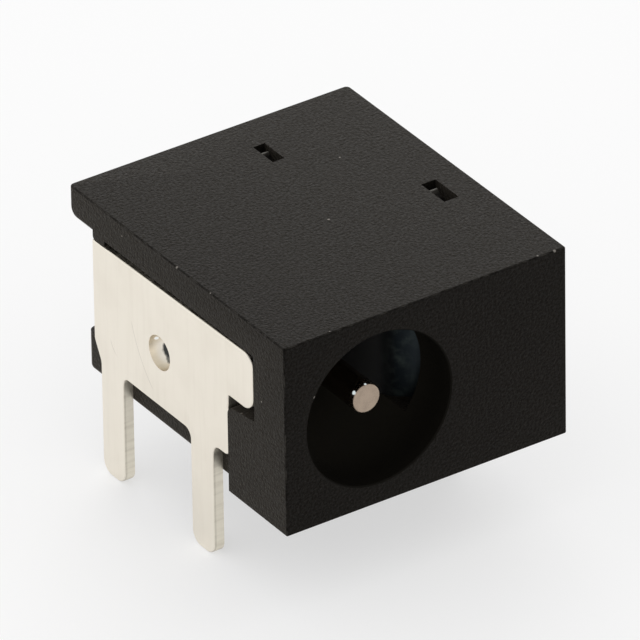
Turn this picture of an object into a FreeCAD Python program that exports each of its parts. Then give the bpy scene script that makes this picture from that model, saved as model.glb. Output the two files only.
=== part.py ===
import FreeCAD, Part
import math
import os

# DC barrel jack for a printed circuit board, in millimetres.
# Origin: centre of the plug opening on the front face. +X right, +Y back, +Z up.

# Housing, outside
housing_width = 12.75
housing_depth = 14.6
axis_height = 4.15  # plug axis above the board
roof_height = 4.1  # plug axis to the top face
axis_inset = 4.25  # plug axis from the left side
slab_thickness = 1.35  # top slab, which overhangs the left side and the back
back_overhang = 0.9  # slab behind the body
foot_overhang = 0.27  # slab behind the foot
foot_height = 1.8
relief = 0.1  # underside raised off the board, behind the front block
relief_land = 1.6  # strip along the right side that isn't raised

# Recess in the left side, which holds the side terminal
side_recess = 0.5
front_block = 2.07  # full-width block behind the front face
shelf_height = 3.8  # low shelf behind the front block, as long as the terminal's hook
shelf_rise = 0.24  # the shelf climbs this much towards the front
shelf_radius = 0.4
lug_length = 0.8  # small lug under the slab, above the terminal's back corner
lug_drop = 0.3
lug_inset = 1.6  # end of the lug to the back of the slab

# Rounded edges of the moulding
top_edge_radius = 0.07
front_edge_radius = 0.07
back_corner_radius = 0.2
slab_under_radius = 0.45
foot_edge_radius = 0.35
bottom_edge_radius = 0.07
relief_edge_radius = 0.22
pocket_radius = 0.2

# Plug opening
bore_diameter = 6.5
end_thickness = 4.6  # moulding behind the opening's floor, slab included
mouth_chamfer = 0.05
web_thickness = 1.05  # wall behind the bore, which carries the centre pin
access_diameter = 3.2  # hole in the back for closing the rivet

# Centre pin
pin_diameter = 1.25
pin_setback = 0.85  # free end behind the front face
pin_edge_radius = 0.1
flange_diameter = 2.8
flange_thickness = 0.5
flange_chamfer = 0.12
collar_diameter = 2.2
rivet_diameter = 1.4
rivet_head_diameter = 2.3
rivet_head_height = 0.45
rivet_head_radius = 0.36

# Sheet metal
side_sheet = 0.45
pin_sheet = 0.45
spring_sheet = 0.4
stamped_edge_radius = 0.07
slot_clearance = 0.04

# Solder legs
leg_length = 3.55  # below the board face
leg_width = 1.52
leg_tip_radius = 0.55

# Side terminal
side_front_gap = 0.18  # to the front block
side_back_gap = 1.45  # to the back of the slab
side_top_gap = 0.15  # under the slab, at the front
side_top_fall = 0.22  # the top edge falls this much towards the back
side_corner_radius = 0.55
hook_depth = 2.65  # bottom of the front hook, below the slab
hook_length = 1.7
hook_inner_radius = 0.15
hook_radius = 0.64  # bottom front corner of the hook
web_height = 1.34  # lower edge between the legs, above the board
hook_web_height = 1.5  # lower edge in front of the front leg
front_leg_centre = 5.82
rear_leg_inset = 1.19  # middle of the leg to the plate's back edge
leg_root_radius = 0.38
hook_root_radius = 0.48
web_corner_radius = 0.3
back_shoulder_height = 2.13
back_shoulder_drop = 0.83

# Contact dimple pressed through the side terminal
dimple_back = 8.6
dimple_below_axis = 0.4
dimple_diameter = 1.45
dimple_depth = 0.75
dimple_wall = 0.35
dimple_window_gap = 0.07

# Spring terminal, right of the bore
spring_plate_offset = 6.95  # plug axis to the middle of its sheet
spring_plate_front = 4.9
spring_plate_length = 4.7
spring_plate_top = 2.4
spring_plate_bottom = 3.0
spring_arm_height = 3.9
spring_nose_back = 2.0  # middle of the sheet at the nose
spring_nose_outer = 5.5
spring_nose_length = 1.15
spring_ramp_offset = 2.55  # inner end of the ramp that the plug's barrel meets first
spring_ramp_back = 3.35
spring_ramp_radius = 1.2
spring_contact_offset = 2.25
spring_contact_back = 6.6
spring_end_offset = 2.9
spring_end_back = 9.2
spring_bend_radius = 0.75
spring_bend_lead = 0.3  # first bend's corner, in front of the plate
spring_leg_centre = 6.05

# Cavity for the spring terminal
window_front = 2.05
well_front = 1.6
cavity_side_gap = 0.3
cavity_end_gap = 0.7
cavity_height_gap = 0.12  # above and below the arm
well_offset = 3.6  # plug axis to the well, which is open underneath

# Pin terminal, behind the bore
ear_offset = 3.22  # plug axis to the middle of the folded ear
ear_length = 2.15
ear_bend_radius = 0.42
pin_plate_left = 1.9
pin_plate_top = 2.2
pin_plate_bottom = 2.6
pin_leg_offset = 1.39

# Slots in the roof, with a tab in the back half of each
spring_slot_centre = 6.1
spring_slot_length = 1.55
spring_slot_play = 0.13  # wider than the sheet, each side
pin_slot_offset = 1.1  # middle of the slot behind the front of the pin terminal's plate
pin_slot_length = 1.35
pin_slot_play = 0.04
tab_width = 0.6
tab_back_gap = 0.22  # to the back end of the slot
tab_setback = 0.13  # under the roof's top face
tab_fall = 0.45  # the tab's end falls this much towards the front, like a barb

# Places worked out from the sizes above
left = -axis_inset
right = housing_width - axis_inset
board = -axis_height
slab_under = roof_height - slab_thickness
body_back = housing_depth - back_overhang
foot_back = housing_depth - foot_overhang
recess_face = left + side_recess
shelf_back = front_block + side_front_gap + hook_length - slot_clearance
shelf_top = board + shelf_height
bore_radius = bore_diameter / 2
bore_depth = housing_depth - end_thickness
pin_plate_front = bore_depth + web_thickness
pin_slot_centre = pin_plate_front + pin_slot_offset
tab_top = roof_height - tab_setback
pin_leg_centre = pin_plate_front + pin_leg_offset
side_back = housing_depth - side_back_gap
leg_tip = board - leg_length
beyond = 1.0  # how far a cutter passes the surface it opens

X, Y, Z = FreeCAD.Vector(1, 0, 0), FreeCAD.Vector(0, 1, 0), FreeCAD.Vector(0, 0, 1)


def in_xy(a, b, c=0.0):
    return FreeCAD.Vector(a, b, c)


def in_xz(a, b, c=0.0):
    return FreeCAD.Vector(a, c, b)


def in_yz(a, b, c=0.0):
    return FreeCAD.Vector(c, a, b)


def corner_cut(before, corner, after, radius):
    """Start, middle and end of the arc that rounds one corner of an outline."""
    to_before = (before - corner).normalize()
    to_after = (after - corner).normalize()
    half = to_before.getAngle(to_after) / 2
    reach = radius / math.tan(half)
    centre = corner + (to_before + to_after).normalize() * (radius / math.sin(half))
    start = corner + to_before * reach
    end = corner + to_after * reach
    middle = centre + ((start + end) * 0.5 - centre).normalize() * radius
    return start, middle, end


def outline(corners, place):
    """Closed face through (a, b) or (a, b, radius) corners, laid into a plane by place."""
    points = [place(corner[0], corner[1]) for corner in corners]
    radii = [corner[2] if len(corner) > 2 else 0.0 for corner in corners]
    count = len(points)
    edges, ends = [], []
    for i in range(count):
        if radii[i] > 0:
            arc = corner_cut(points[i - 1], points[i], points[(i + 1) % count], radii[i])
            edges.append(Part.Arc(*arc).toShape())
            ends.append((arc[0], arc[2]))
        else:
            ends.append((points[i], points[i]))
    for i in range(count):
        start, end = ends[i][1], ends[(i + 1) % count][0]
        if (end - start).Length > 1e-6:
            edges.append(Part.LineSegment(start, end).toShape())
    return Part.Face(Part.Wire(Part.sortEdges(edges)[0]))


def prism(corners, place, start, end):
    """Outline swept at right angles to its plane, from one place to another."""
    normal = place(0, 0, 1)
    face = outline(corners, place)
    face.translate(normal * start)
    return face.extrude(normal * (end - start))


def block(x0, x1, y0, y1, z0, z1):
    corners = [(x0, y0), (x1, y0), (x1, y1), (x0, y1)]
    return prism(corners, in_xy, z0, z1)


def turned(corners):
    """Solid turned about the plug axis from corners given as (radius, Y)."""
    return outline(corners, in_xy).revolve(FreeCAD.Vector(), Y, 360)


def strip(points, radii, thickness, place):
    """Face of a bent sheet seen on edge: its middle line, with a radius at each bend."""
    line = [place(a, b) for a, b in points]
    across = place(1, 0).cross(place(0, 1))
    sides = {}
    for side in (1, -1):
        shift = side * thickness / 2
        corners = []
        for i, point in enumerate(line):
            before = (point - line[i - 1]).normalize() if i else None
            after = (line[i + 1] - point).normalize() if i < len(line) - 1 else None
            if before is None or after is None:
                along = after or before
                corners.append((point + across.cross(along) * shift, 0.0))
                continue
            turn = before.getAngle(after)
            left_turn = 1 if before.cross(after).dot(across) > 0 else -1
            normal = (across.cross(before) + across.cross(after)).normalize()
            corner = point + normal * (shift / math.cos(turn / 2))
            corners.append((corner, radii[i - 1] - left_turn * shift))
        sides[side] = corners
    ring = sides[1] + sides[-1][::-1]
    flat = [(p.dot(place(1, 0)), p.dot(place(0, 1)), r) for p, r in ring]
    return outline(flat, place)


def edges_at(shape, **place):
    """Edges whose ends and middle all lie at the named places."""
    found = []
    for edge in shape.Edges:
        middle = edge.valueAt((edge.FirstParameter + edge.LastParameter) / 2)
        points = [vertex.Point for vertex in edge.Vertexes] + [middle]
        if all(abs(getattr(p, axis) - value) < 1e-4 for p in points for axis, value in place.items()):
            found.append(edge)
    return found


def solder_leg(centre, back_root, front_root):
    """Corners of one leg, from its root at the back to its root at the front."""
    back, front = centre + leg_width / 2, centre - leg_width / 2
    return [
        (back, *back_root),
        (back, leg_tip, leg_tip_radius),
        (front, leg_tip, leg_tip_radius),
        (front, *front_root),
    ]


def housing_body():
    """Outside of the moulding, before anything is opened in it."""
    side_view = [
        (0, board),
        (foot_back, board),
        (foot_back, board + foot_height),
        (body_back, board + foot_height),
        (body_back, slab_under, pocket_radius),
        (housing_depth, slab_under, slab_under_radius),
        (housing_depth, roof_height),
        (0, roof_height),
    ]
    body = prism(side_view, in_yz, left, right)
    lug_end = housing_depth - lug_inset
    lug_start = lug_end - lug_length
    recess = [
        (front_block, slab_under, pocket_radius),
        (front_block, shelf_top + shelf_rise),
        (shelf_back, shelf_top, shelf_radius),
        (shelf_back, board - beyond),
        (housing_depth + beyond, board - beyond),
        (housing_depth + beyond, slab_under),
        (lug_end, slab_under),
        (lug_end, slab_under - lug_drop, pocket_radius),
        (lug_start, slab_under - lug_drop, pocket_radius / 2),
        (lug_start, slab_under),
    ]
    body = body.cut(prism(recess, in_yz, left - beyond, recess_face))
    land = right - relief_land
    behind = housing_depth + beyond
    return body.cut(block(left - beyond, land, shelf_back, behind, board - beyond, board + relief))


def soften(body):
    """Rounded outer edges, the upright ones first."""
    uprights = edges_at(body, x=left, y=0) + edges_at(body, x=right, y=0)
    body = body.makeFillet(front_edge_radius, uprights)
    corners = edges_at(body, x=left, y=housing_depth) + edges_at(body, x=right, y=housing_depth)
    body = body.makeFillet(back_corner_radius, corners)
    body = body.makeFillet(top_edge_radius, edges_at(body, z=roof_height))
    foot = edges_at(body, x=right, y=foot_back) + edges_at(body, x=recess_face, y=foot_back)
    body = body.makeFillet(foot_edge_radius, foot)
    raised = board + relief
    raised_edges = edges_at(body, z=raised, x=recess_face) + edges_at(body, z=raised, y=foot_back)
    body = body.makeFillet(relief_edge_radius, raised_edges)
    rests = []
    for place in ({"y": 0}, {"x": left}, {"x": right}):
        rests += edges_at(body, z=board, **place)
    return body.makeFillet(bottom_edge_radius, rests)


def bore():
    """Everything turned about the plug axis that is open in the moulding."""
    corners = [
        (0, -beyond),
        (bore_radius + mouth_chamfer + beyond, -beyond),
        (bore_radius, mouth_chamfer),
        (bore_radius, bore_depth),
        (collar_diameter / 2, bore_depth),
        (collar_diameter / 2, pin_plate_front),
        (0, pin_plate_front),
    ]
    return turned(corners)


def spring_pocket():
    """Window from the bore for the arm, the well the spring is pushed up, and its plate's slot."""
    side = spring_plate_offset + spring_sheet / 2
    inner = spring_plate_offset - spring_sheet / 2 - slot_clearance
    plate_end = spring_plate_front + spring_plate_length + slot_clearance
    cavity_left = spring_contact_offset - spring_sheet / 2 - cavity_side_gap
    cavity_back = max(spring_end_back + cavity_end_gap, plate_end)
    cavity_top = spring_arm_height / 2 + cavity_height_gap
    corners = [
        (cavity_left, window_front),
        (well_offset, window_front),
        (well_offset, well_front),
        (side, well_front, pocket_radius),
        (side, cavity_back),
        (cavity_left, cavity_back, pocket_radius),
    ]
    cavity = prism(corners, in_xy, -cavity_top, cavity_top)
    well = block(well_offset, side, well_front, cavity_back, board - beyond, -cavity_top)
    plate_start = spring_plate_front - slot_clearance
    plate_top = spring_plate_top + slot_clearance
    upper = block(inner, side, plate_start, plate_end, cavity_top - beyond, plate_top)
    return cavity.fuse([well, upper])


def pin_terminal_pocket():
    """L-shaped slot from below, behind the bore's end wall, and the rivet's access hole."""
    back = pin_plate_front + pin_sheet
    start = -pin_plate_left - slot_clearance
    ear_in = ear_offset - pin_sheet / 2 - slot_clearance
    ear_out = ear_offset + pin_sheet / 2 + slot_clearance
    ear_end = pin_plate_front + ear_length + slot_clearance
    corners = [
        (start, pin_plate_front),
        (ear_out, pin_plate_front),
        (ear_out, ear_end),
        (ear_in, ear_end),
        (ear_in, back, ear_bend_radius),
        (start, back),
    ]
    slot = prism(corners, in_xy, board - beyond, pin_plate_top + slot_clearance)
    access = Part.makeCylinder(access_diameter / 2, housing_depth + beyond - back, Y * back, Y)
    return slot.fuse(access)


def roof_slot(offset, half_width, centre, length, bottom):
    x0, x1 = offset - half_width, offset + half_width
    y0, y1 = centre - length / 2, centre + length / 2
    return block(x0, x1, y0, y1, bottom, roof_height + beyond)


def slot_tab(centre, length, plate_top):
    """Corners of the tab that stands in a roof slot, from its front foot to its back one."""
    back = centre + length / 2 - tab_back_gap
    front = back - tab_width
    return [
        (front, plate_top, stamped_edge_radius),
        (front, tab_top - tab_fall, stamped_edge_radius),
        (back, tab_top, stamped_edge_radius),
        (back, plate_top, stamped_edge_radius),
    ]


def dimple_radius():
    half = dimple_diameter / 2
    return (half * half + dimple_depth * dimple_depth) / (2 * dimple_depth)


def dimple_cap(radius, base, tail=0.0):
    """Spherical cap about the dimple's axis, from base to its inner tip, with a straight tail."""
    centre = recess_face - side_sheet + dimple_depth - dimple_radius()
    rim = math.sqrt(radius * radius - (base - centre) ** 2)
    angle = math.atan2(rim, base - centre) / 2
    middle = in_xy(centre + radius * math.cos(angle), radius * math.sin(angle))
    tip, foot = in_xy(centre + radius, 0), in_xy(base, rim)
    line = [foot, in_xy(base - tail, rim), in_xy(base - tail, 0), tip]
    edges = [Part.Arc(tip, middle, foot).toShape()]
    for start, end in zip(line, line[1:]):
        if (end - start).Length > 0:
            edges.append(Part.LineSegment(start, end).toShape())
    cap = Part.Face(Part.Wire(Part.sortEdges(edges)[0])).revolve(FreeCAD.Vector(), X, 360)
    cap.translate(FreeCAD.Vector(0, dimple_back, -dimple_below_axis))
    return cap


def make_housing():
    body = soften(housing_body())
    window_radius = dimple_radius() + dimple_wall + dimple_window_gap
    window_start = FreeCAD.Vector(left - beyond, dimple_back, -dimple_below_axis)
    window = Part.makeCylinder(window_radius, axis_inset + beyond, window_start, X)
    half = spring_sheet / 2 + spring_slot_play
    spring_slot = roof_slot(spring_plate_offset, half, spring_slot_centre, spring_slot_length, spring_plate_top)
    half = pin_sheet / 2 + pin_slot_play
    pin_slot = roof_slot(ear_offset, half, pin_slot_centre, pin_slot_length, pin_plate_top)
    openings = [bore(), window, spring_pocket(), pin_terminal_pocket(), spring_slot, pin_slot]
    return body.cut(openings)


def make_side_terminal():
    front = front_block + side_front_gap
    top = slab_under - side_top_gap
    hook = slab_under - hook_depth
    hook_inner = front + hook_length
    shoulder = board + back_shoulder_height
    root = (board + web_height, leg_root_radius)
    hook_web = board + hook_web_height
    back_root = (shoulder - back_shoulder_drop, side_corner_radius)
    corners = [
        (front, top, side_corner_radius),
        (side_back, top - side_top_fall, stamped_edge_radius),
        (side_back, shoulder, side_corner_radius),
        *solder_leg(side_back - rear_leg_inset, back_root, root),
        *solder_leg(front_leg_centre, root, (hook_web, hook_root_radius)),
        (hook_inner, hook_web, web_corner_radius),
        (hook_inner, hook, hook_inner_radius),
        (front, hook, hook_radius),
    ]
    outer_face = recess_face - side_sheet
    sheet = prism(corners, in_yz, outer_face, recess_face)
    sheet = sheet.makeFillet(stamped_edge_radius, edges_at(sheet, x=outer_face))
    bump = dimple_cap(dimple_radius() + dimple_wall, recess_face - side_sheet / 2)
    dent = dimple_cap(dimple_radius(), outer_face, beyond)
    return sheet.fuse(bump).cut(dent)


def make_centre_pin():
    flange_front = bore_depth - flange_thickness
    plate_back = pin_plate_front + pin_sheet
    corners = [
        (0, pin_setback),
        (pin_diameter / 2, pin_setback, pin_edge_radius),
        (pin_diameter / 2, flange_front),
        (flange_diameter / 2 - flange_chamfer, flange_front),
        (flange_diameter / 2, flange_front + flange_chamfer),
        (flange_diameter / 2, bore_depth),
        (collar_diameter / 2, bore_depth),
        (collar_diameter / 2, pin_plate_front),
        (rivet_diameter / 2, pin_plate_front),
        (rivet_diameter / 2, plate_back),
        (rivet_head_diameter / 2, plate_back),
        (rivet_head_diameter / 2, plate_back + rivet_head_height, rivet_head_radius),
        (0, plate_back + rivet_head_height),
    ]
    return turned(corners)


def make_pin_terminal():
    middle = pin_plate_front + pin_sheet / 2
    ear_end = pin_plate_front + ear_length
    path = [(-pin_plate_left, middle), (ear_offset, middle), (ear_offset, ear_end)]
    bent = strip(path, [ear_bend_radius], pin_sheet, in_xy)
    bent.translate(Z * leg_tip)
    bent = bent.extrude(Z * (tab_top - leg_tip))
    ear_in = ear_offset - pin_sheet / 2 - ear_bend_radius
    ear_out = ear_offset + pin_sheet
    front_view = [
        (-pin_plate_left, -pin_plate_bottom, pocket_radius),
        (ear_in, -pin_plate_bottom),
        (ear_in, leg_tip),
        (ear_out, leg_tip),
        (ear_out, tab_top),
        (ear_in, tab_top),
        (ear_in, pin_plate_top),
        (-pin_plate_left, pin_plate_top, pocket_radius),
    ]
    root = (-pin_plate_bottom,)
    side_view = [
        (pin_plate_front, pin_plate_top),
        *slot_tab(pin_slot_centre, pin_slot_length, pin_plate_top),
        (ear_end, pin_plate_top, pocket_radius),
        (ear_end, -pin_plate_bottom),
        *solder_leg(pin_leg_centre, root, root),
        (pin_plate_front, -pin_plate_bottom),
    ]
    front_cutter = prism(front_view, in_xz, 0, housing_depth)
    side_cutter = prism(side_view, in_yz, left, right)
    hole = Part.makeCylinder(rivet_diameter / 2, housing_depth, FreeCAD.Vector(), Y)
    return bent.common(front_cutter).common(side_cutter).cut(hole)


def make_spring_terminal():
    half = spring_sheet / 2
    plate_back = spring_plate_front + spring_plate_length
    back_root = (-spring_plate_bottom, leg_root_radius)
    front_root = (-spring_plate_bottom, stamped_edge_radius)
    side_view = [
        (spring_plate_front, spring_plate_top, pocket_radius),
        *slot_tab(spring_slot_centre, spring_slot_length, spring_plate_top),
        (plate_back, spring_plate_top, pocket_radius),
        (plate_back, -spring_plate_bottom, pocket_radius),
        *solder_leg(spring_leg_centre, back_root, front_root),
        (spring_plate_front, -spring_plate_bottom, stamped_edge_radius),
    ]
    plate = prism(side_view, in_yz, spring_plate_offset - half, spring_plate_offset + half)
    bend_start = spring_plate_front - spring_bend_lead
    path = [
        (spring_plate_offset, spring_plate_front + half),
        (spring_plate_offset, bend_start),
        (spring_nose_outer, spring_nose_back),
        (spring_nose_outer - spring_nose_length, spring_nose_back),
        (spring_ramp_offset, spring_ramp_back),
        (spring_contact_offset, spring_contact_back),
        (spring_end_offset, spring_end_back),
    ]
    radii = [spring_bend_radius] * 3 + [spring_ramp_radius, spring_bend_radius]
    arm = strip(path, radii, spring_sheet, in_xy)
    arm.translate(Z * (-spring_arm_height / 2))
    arm = arm.extrude(Z * spring_arm_height)
    return plate.fuse(arm).removeSplitter()


def main():
    os.makedirs("parts", exist_ok=True)
    pieces = {
        "housing": make_housing(),
        "side_terminal": make_side_terminal(),
        "centre_pin": make_centre_pin(),
        "pin_terminal": make_pin_terminal(),
        "spring_terminal": make_spring_terminal(),
    }
    for name, shape in pieces.items():
        box = shape.BoundBox
        low = [round(v, 2) for v in (box.XMin, box.YMin, box.ZMin)]
        high = [round(v, 2) for v in (box.XMax, box.YMax, box.ZMax)]
        print(name, len(shape.Solids), shape.isValid(), round(shape.Volume, 3), low, high)
        shape.exportStep(f"parts/{name}.step")


main()
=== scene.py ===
# Looks for the DC barrel jack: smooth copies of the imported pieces, their finishes,
# a pale floor and soft light.
import math

import bpy
from mathutils import Matrix, Vector


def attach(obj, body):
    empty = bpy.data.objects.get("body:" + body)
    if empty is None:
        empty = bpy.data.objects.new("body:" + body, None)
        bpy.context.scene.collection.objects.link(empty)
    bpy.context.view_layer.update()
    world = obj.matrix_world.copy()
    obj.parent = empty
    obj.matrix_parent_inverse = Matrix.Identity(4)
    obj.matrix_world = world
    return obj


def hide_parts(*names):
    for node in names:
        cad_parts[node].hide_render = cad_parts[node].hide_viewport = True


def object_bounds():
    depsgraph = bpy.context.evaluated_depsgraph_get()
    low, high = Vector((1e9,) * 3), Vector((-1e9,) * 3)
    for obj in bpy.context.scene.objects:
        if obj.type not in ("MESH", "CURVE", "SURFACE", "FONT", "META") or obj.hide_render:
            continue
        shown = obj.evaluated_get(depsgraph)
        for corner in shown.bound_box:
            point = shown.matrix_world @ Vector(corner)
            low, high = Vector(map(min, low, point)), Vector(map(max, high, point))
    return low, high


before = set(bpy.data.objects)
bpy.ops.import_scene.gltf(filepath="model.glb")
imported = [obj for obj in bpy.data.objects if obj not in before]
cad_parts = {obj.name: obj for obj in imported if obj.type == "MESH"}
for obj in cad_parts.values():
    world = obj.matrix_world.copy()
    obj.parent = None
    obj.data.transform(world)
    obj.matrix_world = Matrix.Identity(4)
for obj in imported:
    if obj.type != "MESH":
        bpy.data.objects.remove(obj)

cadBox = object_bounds()
mm = 0.001


class Wire:
    # one output socket, with the arithmetic written as plain Python
    def __init__(self, recipe, socket):
        self.recipe = recipe
        self.socket = socket

    def maths(self, operation, *others, flipped=False):
        values = [self, *others]
        if flipped:
            values.reverse()
        return self.recipe.node("Math", {"operation": operation}, dict(enumerate(values)))

    def __add__(self, other):
        return self.maths("ADD", other)

    def __sub__(self, other):
        return self.maths("SUBTRACT", other)

    def __rsub__(self, other):
        return self.maths("SUBTRACT", other, flipped=True)

    def __mul__(self, other):
        return self.maths("MULTIPLY", other)

    def __pow__(self, other):
        return self.maths("POWER", other)

    __radd__ = __add__
    __rmul__ = __mul__

    def size(self):
        return self.maths("ABSOLUTE")

    def larger(self, other):
        return self.maths("MAXIMUM", other)

    def rise(self, low, high):
        # 0 below low, 1 above high, smooth between; falls when low is above high
        settings = {"interpolation_type": "SMOOTHSTEP"}
        return self.recipe.node("MapRange", settings, {"Value": self, "From Min": low, "From Max": high})


class Recipe:
    # one material, with its shader and its nodes
    def __init__(self, name, **fixed):
        self.material = bpy.data.materials.new(name)
        self.material.use_nodes = True
        self.tree = self.material.node_tree
        self.tree.nodes.clear()
        self.shader = self.tree.nodes.new("ShaderNodeBsdfPrincipled")
        self.output = self.tree.nodes.new("ShaderNodeOutputMaterial")
        self.tree.links.new(self.shader.outputs[0], self.output.inputs["Surface"])
        self.feed(**fixed)

    def plug(self, socket, value):
        if isinstance(value, Wire):
            self.tree.links.new(value.socket, socket)
        else:
            socket.default_value = value

    def feed(self, **sockets):
        for name, value in sockets.items():
            self.plug(self.shader.inputs[name.replace("_", " ")], value)

    def node(self, kind, settings=None, sockets=None, output=0):
        made = self.tree.nodes.new("ShaderNode" + kind)
        for name, value in (settings or {}).items():
            setattr(made, name, value)
        for name, value in (sockets or {}).items():
            self.plug(made.inputs[name], value)
        return Wire(self, made.outputs[output])

    def place(self, scale=(1, 1, 1)):
        # Object coordinates in millimetres, stretched by scale
        coordinates = self.node("TexCoord", output="Object")
        stretch = [part / mm for part in scale]
        return self.node("Mapping", {}, {"Vector": coordinates, "Scale": stretch})

    def axes(self):
        # the three Object coordinates in millimetres, one wire each
        split = self.node("SeparateXYZ", {}, {"Vector": self.place()}).socket.node
        return [Wire(self, output) for output in split.outputs]

    def near(self, point, radius, core=0.4):
        # 0 beyond the radius round a point given in millimetres, 1 in the core, a share of that radius
        x, y, z = [axis - middle for axis, middle in zip(self.axes(), point)]
        return ((x * x + y * y + z * z) ** 0.5).rise(radius, radius * core)

    def facing(self):
        # how far the surface faces along each axis, without its sign
        normal = self.node("NewGeometry", output="Normal")
        split = self.node("SeparateXYZ", {}, {"Vector": normal}).socket.node
        return [Wire(self, output).size() for output in split.outputs]

    def noise(self, perMm, detail=2.0, stretch=(1, 1, 1), roughness=0.5):
        # a larger stretch makes the pattern finer along that axis
        sockets = {
            "Vector": self.place(stretch),
            "Scale": perMm,
            "Detail": detail,
            "Roughness": roughness,
        }
        return self.node("TexNoise", {}, sockets)

    def blend(self, factor, first, second):
        sockets = {"Factor": factor, 6: first, 7: second}
        return self.node("Mix", {"data_type": "RGBA"}, sockets, output=2)

    def bump(self, height, depthMm, strength=1.0):
        sockets = {"Height": height, "Distance": depthMm * mm, "Strength": strength}
        return self.node("Bump", {}, sockets)

    def tilt(self, factor, normal, towards):
        # turns the surface's normal towards a fixed direction, as the floor of a small dent would, so
        # that a painted glint catches the light
        return self.node("Mix", {"data_type": "VECTOR"}, {0: factor, 4: normal, 5: towards}, output=1)


def rgb(red, green, blue):
    return (red, green, blue, 1)


# Moulded plastic

plastic = {
    "dark": rgb(0.0012, 0.0009, 0.0006),
    "light": rgb(0.004, 0.0032, 0.0024),
    "worn": rgb(0.036, 0.033, 0.028),
    "chipped": rgb(0.2, 0.185, 0.165),
    "specular": 0.03,
    "roughness": 0.5,
    "roughnessSpread": 0.5,
    "haze": 0.235,  # sheen of the fine mould texture, strongest at a low angle
    "hazeTint": rgb(1.0, 0.88, 0.72),
    "hazeRoughness": 0.4,
    "grain": {"perMm": 8.0, "detail": 3.0, "roughness": 0.62},
    "grainLevels": (0.34, 0.66),
    "grainShare": 0.8,  # the light and dark speckle is mostly grain, with a little cloud
    "grainDepth": 0.028,
    "cloud": {"perMm": 0.9, "detail": 3.0},
    "cloudLevels": (0.35, 0.7),
    "cloudShare": 0.2,
    "polish": 0.165,  # coat on the grain's polished specks
    "polishRoughness": 0.42,
    "specks": {"perMm": 9.0, "roughness": 0.7},
    "specksLevels": (0.36, 0.7),
    "edgeTurn": (0.02, 0.22),  # how far an edge's rounding turns from the flat faces beside it
    "wear": {"perMm": 2.2, "detail": 3.0},
    "wearLevels": (0.4, 0.68),
    "wearShare": 0.8,
    "wearPolish": 0.08,
    "rivetHole": (1.66, 1.74),  # its round wall, this far from the plug's axis, has no wear
    # small knocks: place and radius
    "chips": [
        ((-4.22, 7.22, 4.07), 0.07),
        ((-4.22, 4.95, 4.07), 0.045),
        ((-4.25, 10.95, 3.6), 0.04),
        ((-4.25, 1.57, 1.03), 0.05),
        ((-4.2, 3.02, -0.23), 0.06),
        ((-2.9, 0.02, 1.53), 0.08),
        ((8.0, 0.03, 4.08), 0.08),
        ((7.26, 0.08, 4.1), 0.05),
        ((2.34, 6.78, 4.1), 0.07),
        ((5.23, 10.31, 4.1), 0.05),
        ((-2.13, 0.1, 4.1), 0.04),
    ],
    "flecksPerMm": 1.9,
    "fleckRadius": 0.07,
    "fleckCore": 0.5,
    "fleckShare": 0.02,
}


def makePlastic():
    recipe = Recipe(
        "mouldedPlastic",
        Specular_IOR_Level=plastic["specular"],
        Coat_Roughness=plastic["polishRoughness"],
        Sheen_Weight=plastic["haze"],
        Sheen_Tint=plastic["hazeTint"],
        Sheen_Roughness=plastic["hazeRoughness"],
    )
    grain = recipe.noise(**plastic["grain"])
    cloud = recipe.noise(**plastic["cloud"])
    speckle = (
        grain.rise(*plastic["grainLevels"]) * plastic["grainShare"]
        + cloud.rise(*plastic["cloudLevels"]) * plastic["cloudShare"]
    )
    shade = recipe.blend(speckle, plastic["dark"], plastic["light"])
    across, along, up = recipe.facing()
    edge = (1 - across.larger(along).larger(up)).rise(*plastic["edgeTurn"])
    x, _, z = recipe.axes()
    outside = ((x * x + z * z) ** 0.5).rise(*plastic["rivetHole"])
    wear = edge * outside * recipe.noise(**plastic["wear"]).rise(*plastic["wearLevels"])
    shade = recipe.blend(wear * plastic["wearShare"], shade, plastic["worn"])
    cells = {"Vector": recipe.place(), "Scale": plastic["flecksPerMm"]}
    nearest = recipe.node("TexVoronoi", {}, cells)
    chosen = recipe.node("TexVoronoi", {}, cells, output="Color")
    lucky = recipe.node("SeparateColor", {}, {"Color": chosen}).rise(1 - plastic["fleckShare"], 1.0)
    chip = nearest.rise(plastic["fleckRadius"], plastic["fleckRadius"] * plastic["fleckCore"]) * lucky
    for point, radius in plastic["chips"]:
        chip = chip.larger(recipe.near(point, radius))
    shade = recipe.blend(chip, shade, plastic["chipped"])
    specks = recipe.noise(**plastic["specks"]).rise(*plastic["specksLevels"])
    rough = plastic["roughness"] + (grain - 0.5) * plastic["roughnessSpread"]
    recipe.feed(
        Base_Color=shade,
        Coat_Weight=specks * plastic["polish"],
        Roughness=rough - wear * plastic["wearPolish"],
        Normal=recipe.bump(grain, plastic["grainDepth"]),
    )
    return recipe.material


# Wall of the plug opening: the same plastic, smoother and with no wear; its colour is painted lighter
# deeper in, against the fall of light

bore = {
    # painted light: the deep colour is much lighter than the mouth's, so the wall looks even though less
    # light reaches deep in
    "mouth": rgb(0.0068, 0.006, 0.0046),
    "deep": rgb(0.055, 0.05, 0.04),
    "paintedLightDepths": (0.5, 6.0),  # behind the front face, from the mouth's colour to the deep one: painted light, lighter where less light reaches
    "specular": 0.03,
    "roughness": 0.6,
    "roughnessSpread": 0.4,
    "grain": {"perMm": 8.0, "detail": 3.0, "roughness": 0.62},
    "grainDepth": 0.01,
    # the faces that it covers: this near the plug's axis and to the front face
    "radius": 3.3,
    "depth": 10.05,
}


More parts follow.
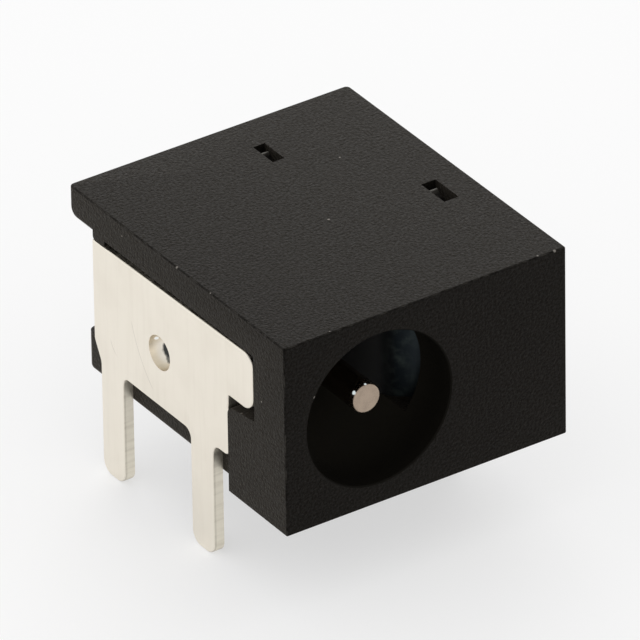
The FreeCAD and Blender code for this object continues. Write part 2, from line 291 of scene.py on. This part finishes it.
def makeBore():
    recipe = Recipe("boreWall", Specular_IOR_Level=bore["specular"])
    grain = recipe.noise(**bore["grain"])
    # painted light: the wall's colour turns lighter deeper in
    paintedDepthLight = recipe.axes()[1].rise(*bore["paintedLightDepths"])
    recipe.feed(
        Base_Color=recipe.blend(paintedDepthLight, bore["mouth"], bore["deep"]),
        Roughness=bore["roughness"] + (grain - 0.5) * bore["roughnessSpread"],
        Normal=recipe.bump(grain, bore["grainDepth"]),
    )
    return recipe.material


# Contact dimple of the side terminal: the plate's painted rim shade and sheared edges both stop short of
# it

dimple = {
    "mouth": (-4.2, 8.6, -0.4),
    "radius": 1.1,
    "rimReach": 2.4,  # from this far away, the painted rim shade fades out towards the mouth
}


# Tin-plated sheet: its flat faces, and the sheared edges where the brass shows a little

tin = {
    "clean": rgb(0.87, 0.815, 0.715),
    "dull": rgb(0.80, 0.745, 0.65),
    "scratched": rgb(0.5, 0.46, 0.4),
    "paintedDarkReflection": rgb(0.012, 0.017, 0.02),
    "rim": rgb(0.5, 0.47, 0.41),  # painted shade on the rounding along edges that look up or down
    "rimTurn": (0.25, 0.7),
    "roughness": 0.3,
    "streaks": {"perMm": 1.0, "detail": 4.0, "stretch": (3.0, 5.0, 0.35)},
    "streakLevels": (0.42, 0.75),
    "streakShare": 0.3,
    "cloud": {"perMm": 0.5, "detail": 3.0},
    "cloudLevels": (0.4, 0.7),
    "cloudShare": 0.4,
    "dullRoughness": 0.12,
    "fine": {"perMm": 14.0, "stretch": (1.0, 2.0, 0.4)},
    "fineRoughness": 0.06,
    "fineDepth": 0.0012,
    # painted dark reflection in the dimple, two overlapping spots by its rim: place, radius and strength
    "paintedDarkReflections": [((-3.58, 8.86, -0.58), 0.44, 0.95), ((-3.6, 8.66, -0.86), 0.36, 0.8)],
    "paintedDarkLevels": (0.3, 0.85),
    "ragged": {"perMm": 6.0, "detail": 3.0},  # breaks up the edges of the painted dark reflection
    "raggedness": 0.7,
    # a bright spot on the rear of the dimple's wall
    "glint": rgb(0.95, 0.97, 0.95),
    "glintPlace": (-3.912, 9.229, -0.152),
    "glintReach": 0.11,
    "glintTilt": (-0.66, -0.53, 0.53),
    "glintPolish": 0.15,
    "scratchShare": 0.6,
    "scratchWidth": 0.022,
    "scratchCore": 0.3,
    "scratchTaper": 0.2,  # height over which each end of a scratch fades
    "scratchStart": (0, 0.01),  # a scratch is only the part of its arc behind its centre
    # arcs in the plane of the plate: centre, radius, and the heights between which each one runs
    "scratches": [((5.57, 1.44), 5.13, (-2.35, 0.1)), ((11.05, -1.2), 1.0, (-2.1, -1.45))],
}


def scratchMarks(recipe):
    _, y, z = recipe.axes()
    marks = 0.0
    for (middleY, middleZ), radius, (low, high) in tin["scratches"]:
        back, rise = y - middleY, z - middleZ
        off = ((back * back + rise * rise) ** 0.5 - radius).size()
        line = off.rise(tin["scratchWidth"], tin["scratchWidth"] * tin["scratchCore"])
        ends = z.rise(low, low + tin["scratchTaper"]) * z.rise(high, high - tin["scratchTaper"])
        marks = line * (ends * back.rise(*tin["scratchStart"])) + marks
    return marks


def makeTin():
    recipe = Recipe("tinPlate", Metallic=1.0)
    streaks = recipe.noise(**tin["streaks"])
    cloud = recipe.noise(**tin["cloud"])
    dull = (
        streaks.rise(*tin["streakLevels"]) * tin["streakShare"]
        + cloud.rise(*tin["cloudLevels"]) * tin["cloudShare"]
    )
    fine = recipe.noise(**tin["fine"])
    marks = scratchMarks(recipe)
    shade = recipe.blend(dull, tin["clean"], tin["dull"])
    ragged = (recipe.noise(**tin["ragged"]) - 0.5) * tin["raggedness"]
    # painted reflection: near-black spots in the dimple, by its rim
    for point, reach, strength in tin["paintedDarkReflections"]:
        paintedDark = (recipe.near(point, reach) + ragged).rise(*tin["paintedDarkLevels"]) * strength
        shade = recipe.blend(paintedDark, shade, tin["paintedDarkReflection"])
    awayFromDimple = 1 - recipe.near(dimple["mouth"], dimple["rimReach"])
    # painted shade: darker where the rounding looks up or down, away from the dimple
    rim = recipe.facing()[2].rise(*tin["rimTurn"]) * awayFromDimple
    shade = recipe.blend(rim, shade, tin["rim"])
    shade = recipe.blend(marks * tin["scratchShare"], shade, tin["scratched"])
    glint = recipe.near(tin["glintPlace"], tin["glintReach"])
    rough = tin["roughness"] + dull * tin["dullRoughness"] + (fine - 0.5) * tin["fineRoughness"]
    recipe.feed(
        Base_Color=recipe.blend(glint, shade, tin["glint"]),
        Roughness=rough - glint * tin["glintPolish"],
        Normal=recipe.tilt(glint, recipe.bump(fine, tin["fineDepth"]), tin["glintTilt"]),
    )
    return recipe.material


shear = {
    "bright": rgb(0.88, 0.83, 0.71),
    "torn": rgb(0.8, 0.75, 0.64),
    "dull": rgb(0.62, 0.58, 0.5),  # painted shade on edges that look up or down
    "paintedShadeTurn": (0.6, 0.95),
    "streaks": {"perMm": 1.0, "detail": 3.0, "stretch": (0.5, 5.0, 5.0)},  # they run along X
    "tornLevels": (0.4, 0.7),
    "burr": rgb(0.2, 0.18, 0.15),
    "burrShare": 0.25,
    # the burr is on the side terminal's outer rim, low on its legs
    "burrOut": (-4.085, -4.11),
    "burrDown": (-2.75, -2.95),
    "roughness": 0.4,
    "tornRoughness": 0.15,
    "streakDepth": 0.0015,
    "faceTurn": 0.8,  # a face that looks this squarely along an axis of the outline is a cut edge
}


def makeShear():
    recipe = Recipe("shearedEdgeX", Metallic=1.0)
    streaks = recipe.noise(**shear["streaks"])
    torn = streaks.rise(*shear["tornLevels"])
    x, _, z = recipe.axes()
    burr = x.rise(*shear["burrOut"]) * z.rise(*shear["burrDown"])
    shade = recipe.blend(torn, shear["bright"], shear["torn"])
    # painted shade: the edges that look up or down are darker
    shade = recipe.blend(recipe.facing()[2].rise(*shear["paintedShadeTurn"]), shade, shear["dull"])
    recipe.feed(
        Base_Color=recipe.blend(burr * shear["burrShare"], shade, shear["burr"]),
        Roughness=shear["roughness"] + torn * shear["tornRoughness"],
        Normal=recipe.bump(streaks, shear["streakDepth"]),
    )
    return recipe.material


# Ends of the tabs in the roof slots: dark, with a painted highlight at their tips

darkTabEndAndHighlight = {
    "pale": rgb(0.035, 0.032, 0.028),
    "deep": rgb(0.012, 0.011, 0.01),
    # painted highlight at the tip of each tab's end
    "bright": rgb(0.5, 0.48, 0.44),
    "cloud": {"perMm": 5.0, "detail": 3.0},
    "cloudLevels": (0.4, 0.6),
    "roughness": 0.6,
    "tip": (3.86, 3.96),  # heights over which a tab's end turns to the painted highlight
    # the faces that count as a tab's end: this high above the plug's axis, looking up this squarely
    "above": 3.3,
    "faceTurn": 0.5,
}


def makeDarkTabEndAndHighlight():
    recipe = Recipe("darkTabEndAndPaintedHighlight", Metallic=1.0)
    cloud = recipe.noise(**darkTabEndAndHighlight["cloud"]).rise(*darkTabEndAndHighlight["cloudLevels"])
    tip = recipe.axes()[2].rise(*darkTabEndAndHighlight["tip"])
    shade = recipe.blend(cloud, darkTabEndAndHighlight["deep"], darkTabEndAndHighlight["pale"])
    # painted highlight: the tab's tip turns bright with height
    recipe.feed(
        Base_Color=recipe.blend(tip, shade, darkTabEndAndHighlight["bright"]),
        Roughness=darkTabEndAndHighlight["roughness"],
    )
    return recipe.material


# Turned pin

nickel = {
    "clean": rgb(0.395, 0.315, 0.246),
    "dull": rgb(0.325, 0.257, 0.203),
    "paintedGlintColour": rgb(0.86, 0.96, 0.97),
    "roughness": 0.2,
    "end": (1.3, 1.0),  # behind the front face, from the plain shank to the turned end
    "cloud": {"perMm": 2.5, "detail": 3.0},
    "cloudLevels": (0.35, 0.75),
    "cloudShare": 0.6,
    "cloudRoughness": 0.15,
    "ringsPerMm": 16.0,
    "ringDepth": 0.0015,
    "ringStrength": 0.6,
    # painted glints on the pin's end, a bright colour with a turned normal: place and radius
    "paintedGlints": [((-0.5, 0.99, 0.38), 0.13), ((-0.02, 0.93, 0.62), 0.07)],
    "paintedGlintRoughness": 0.1,
    "paintedGlintTilt": (-0.6, -0.7, 0.4),  # which way the turned normal of a painted glint looks
}


def makeNickel():
    recipe = Recipe("nickelPlate", Metallic=1.0)
    x, y, z = recipe.axes()
    radius = (x * x + z * z) ** 0.5
    rings = (radius * nickel["ringsPerMm"] * 2 * math.pi).maths("SINE")
    # the rings and the cloud are on the pin's end, and fade out along its shank
    end = y.rise(*nickel["end"])
    cloud = recipe.noise(**nickel["cloud"]).rise(*nickel["cloudLevels"]) * end
    shade = recipe.blend(cloud * nickel["cloudShare"], nickel["clean"], nickel["dull"])
    rough = nickel["roughness"] + cloud * nickel["cloudRoughness"]
    normal = recipe.bump(rings * end, nickel["ringDepth"], nickel["ringStrength"])
    # painted highlight: glints of bright bluish colour, with the normal turned towards the light
    for point, reach in nickel["paintedGlints"]:
        paintedGlint = recipe.near(point, reach)
        shade = recipe.blend(paintedGlint, shade, nickel["paintedGlintColour"])
        rough = rough + paintedGlint * nickel["paintedGlintRoughness"]
        normal = recipe.tilt(paintedGlint, normal, nickel["paintedGlintTilt"])
    recipe.feed(Base_Color=shade, Roughness=rough, Normal=normal)
    return recipe.material


# Spring sheet: its arm in the opening painted dark blue as shade, paler at the front and lighter and
# duller deeper in as painted light, and a silver plate and leg

spring = {
    # painted shade: the arm inside the opening is darkened to these
    "blue": rgb(0.01, 0.013, 0.0155),
    "green": rgb(0.03, 0.038, 0.036),
    "silver": rgb(0.58, 0.62, 0.62),
    "tint": {"perMm": 2.6, "detail": 4.0},  # from blue to green
    "tintLevels": (0.4, 0.74),
    "pale": rgb(0.026, 0.032, 0.036),
    "front": (3.0, 2.2),  # painted light: pale on the front of the ramp
    "paintedDeepLight": rgb(0.075, 0.075, 0.075),
    "deep": (2.9, 3.9),  # behind the front face, where the painted lighter, duller shade begins
    "paintedDeepLightMetal": 0.4,
    "armEnds": (5.0, 6.4),  # to the right of the plug's axis, where the arm's painted shade ends and it turns silver
    "roughness": 0.45,
    "roughnessSpread": 0.15,
    "fine": {"perMm": 6.0, "detail": 3.0, "stretch": (1.0, 1.0, 0.3)},
    "fineDepth": 0.002,
}


def makeSpring():
    recipe = Recipe("springSheet")
    tint = recipe.noise(**spring["tint"]).rise(*spring["tintLevels"])
    fine = recipe.noise(**spring["fine"])
    arm = recipe.blend(tint, spring["blue"], spring["green"])
    x, y, _ = recipe.axes()
    arm = recipe.blend(y.rise(*spring["front"]), arm, spring["pale"])
    outsidePaintedShade = x.rise(*spring["armEnds"])
    paintedDeepLight = y.rise(*spring["deep"]) * (1 - outsidePaintedShade)
    arm = recipe.blend(paintedDeepLight, arm, spring["paintedDeepLight"])
    recipe.feed(
        Base_Color=recipe.blend(outsidePaintedShade, arm, spring["silver"]),
        Metallic=1 - paintedDeepLight * (1 - spring["paintedDeepLightMetal"]),
        Roughness=spring["roughness"] + (fine - 0.5) * spring["roughnessSpread"],
        Normal=recipe.bump(fine, spring["fineDepth"]),
    )
    return recipe.material


# Pieces

smoothing = {
    "mergeWithin": 0.0005,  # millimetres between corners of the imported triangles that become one
    "angle": 32.0,  # degrees; a sharper edge stays sharp
}


def selectOnly(piece):
    bpy.ops.object.select_all(action="DESELECT")
    piece.select_set(True)
    bpy.context.view_layer.objects.active = piece


def smoothCopy(node, name):
    # a joined, smooth-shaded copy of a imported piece, which stands in for it
    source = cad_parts[node]
    piece = bpy.data.objects.new(name, source.data.copy())
    bpy.context.scene.collection.objects.link(piece)
    selectOnly(piece)
    piece.data.materials.clear()
    bpy.ops.mesh.customdata_custom_splitnormals_clear()
    bpy.ops.object.mode_set(mode="EDIT")
    bpy.ops.mesh.select_all(action="SELECT")
    bpy.ops.mesh.remove_doubles(threshold=smoothing["mergeWithin"] * mm)
    bpy.ops.object.mode_set(mode="OBJECT")
    bpy.ops.object.shade_smooth_by_angle(angle=math.radians(smoothing["angle"]))
    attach(piece, "root")
    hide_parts(node)
    print("piece", name, len(piece.data.polygons))
    return piece


def paint(piece, *choices):
    # each choice is a material and a test on a face's centre and normal; the first that passes wins
    for material, _ in choices:
        piece.data.materials.append(material)
    for face in piece.data.polygons:
        for index, (_, suits) in enumerate(choices):
            if suits(face.center / mm, face.normal):
                face.material_index = index
                break


def anywhere(centre, normal):
    return True


def edgeOf(*axes):
    # faces of a sheet that look mostly along one of the given axes, so its cut edges
    return lambda centre, normal: max(abs(normal[axis]) for axis in axes) > shear["faceTurn"]


def outerEdge(centre, normal):
    # the side terminal's cut edges, without the walls of its dimple
    fromDimple = math.dist(centre[1:], dimple["mouth"][1:])
    return fromDimple > dimple["radius"] and edgeOf(1, 2)(centre, normal)


def tabEnd(centre, normal):
    return normal[2] > darkTabEndAndHighlight["faceTurn"] and centre[2] > darkTabEndAndHighlight["above"]


def inBore(centre, normal):
    return math.hypot(centre[0], centre[2]) < bore["radius"] and centre[1] < bore["depth"]


plasticMaterial = makePlastic()
boreMaterial = makeBore()
tinMaterial = makeTin()
shearMaterial = makeShear()
darkTabEndAndHighlightMaterial = makeDarkTabEndAndHighlight()
nickelMaterial = makeNickel()
springMaterial = makeSpring()
print("materials made")

housing = smoothCopy("housing", "mouldedHousing")
paint(housing, (boreMaterial, inBore), (plasticMaterial, anywhere))

sideTerminal = smoothCopy("side_terminal", "sideTerminalSheet")
paint(sideTerminal, (shearMaterial, outerEdge), (tinMaterial, anywhere))

pinTerminal = smoothCopy("pin_terminal", "pinTerminalSheet")
paint(pinTerminal, (darkTabEndAndHighlightMaterial, tabEnd), (shearMaterial, edgeOf(2)), (tinMaterial, anywhere))

springTerminal = smoothCopy("spring_terminal", "springTerminalSheet")
paint(springTerminal, (darkTabEndAndHighlightMaterial, tabEnd), (springMaterial, anywhere))

centrePin = smoothCopy("centre_pin", "turnedCentrePin")
paint(centrePin, (nickelMaterial, anywhere))
print("pieces made")


# Floor, light and camera

studio = {
    "floorHalf": 2.0,
    "floorShade": 0.96,
    "floorRoughness": 0.9,
    "floorSpecular": 0.1,
    "floorGlow": 0.55,  # share of plain white in what the camera and reflections see
    "world": 0.84,
    "lamps": {
        "keyLamp": {"from": (-0.62, 0.62, 0.14), "size": 0.8, "watts": 1.5},
        "backLamp": {"from": (0.45, 0.68, 0.42), "size": 0.6, "watts": 1.9},
    },
}


def makeFloor():
    bpy.ops.mesh.primitive_plane_add(size=2 * studio["floorHalf"], location=(0, 0, cadBox[0][2]))
    floor = bpy.context.object
    floor.name = "paleFloor"
    floor.data.transform(floor.matrix_world)
    floor.matrix_world = Matrix.Identity(4)
    recipe = Recipe(
        "paleFloor",
        Base_Color=rgb(*[studio["floorShade"]] * 3),
        Roughness=studio["floorRoughness"],
        Specular_IOR_Level=studio["floorSpecular"],
    )
    direct = recipe.node("LightPath", output="Is Camera Ray")
    reflected = recipe.node("LightPath", output="Is Glossy Ray")
    seen = direct.larger(reflected)
    glow = recipe.node("Emission", sockets={"Strength": 1.0})
    sockets = {"Fac": seen * studio["floorGlow"], 1: Wire(recipe, recipe.shader.outputs[0]), 2: glow}
    recipe.plug(recipe.output.inputs["Surface"], recipe.node("MixShader", sockets=sockets))
    floor.data.materials.append(recipe.material)


def makeLamps():
    for name, lamp in studio["lamps"].items():
        data = bpy.data.lights.new(name, "AREA")
        data.shape = "SQUARE"
        data.size = lamp["size"]
        data.energy = lamp["watts"]
        holder = bpy.data.objects.new(name, data)
        holder.location = lamp["from"]
        holder.rotation_euler = (-Vector(lamp["from"])).to_track_quat("-Z", "Y").to_euler()
        bpy.context.scene.collection.objects.link(holder)
    world = bpy.data.worlds.new("studioWorld")
    bpy.context.scene.world = world
    world.use_nodes = True
    background = world.node_tree.nodes["Background"]
    background.inputs["Color"].default_value = rgb(1, 1, 1)
    background.inputs["Strength"].default_value = studio["world"]


view = {
    "eye": (-0.243156, -0.362754, 0.272442),
    "right": (0.82887, -0.5593, -0.01304),
    "up": (0.30222, 0.42802, 0.85174),
    "back": (-0.47079, -0.70992, 0.52381),
    "sensor": 36.0,
    "lens": 774.6,
    "shift": (-0.00094, 0.0007),
    "clip": (0.01, 20.0),
}


def makeCamera():
    data = bpy.data.cameras.new("photoCamera")
    data.sensor_width = view["sensor"]
    data.lens = view["lens"]
    data.shift_x, data.shift_y = view["shift"]
    data.clip_start, data.clip_end = view["clip"]
    camera = bpy.data.objects.new("photoCamera", data)
    turn = Matrix([view["right"], view["up"], view["back"]]).transposed().to_4x4()
    camera.matrix_world = Matrix.Translation(view["eye"]) @ turn
    bpy.context.scene.collection.objects.link(camera)
    bpy.context.scene.camera = camera


makeFloor()
makeLamps()
makeCamera()
bpy.context.scene.view_settings.view_transform = "Standard"
print("studio made")
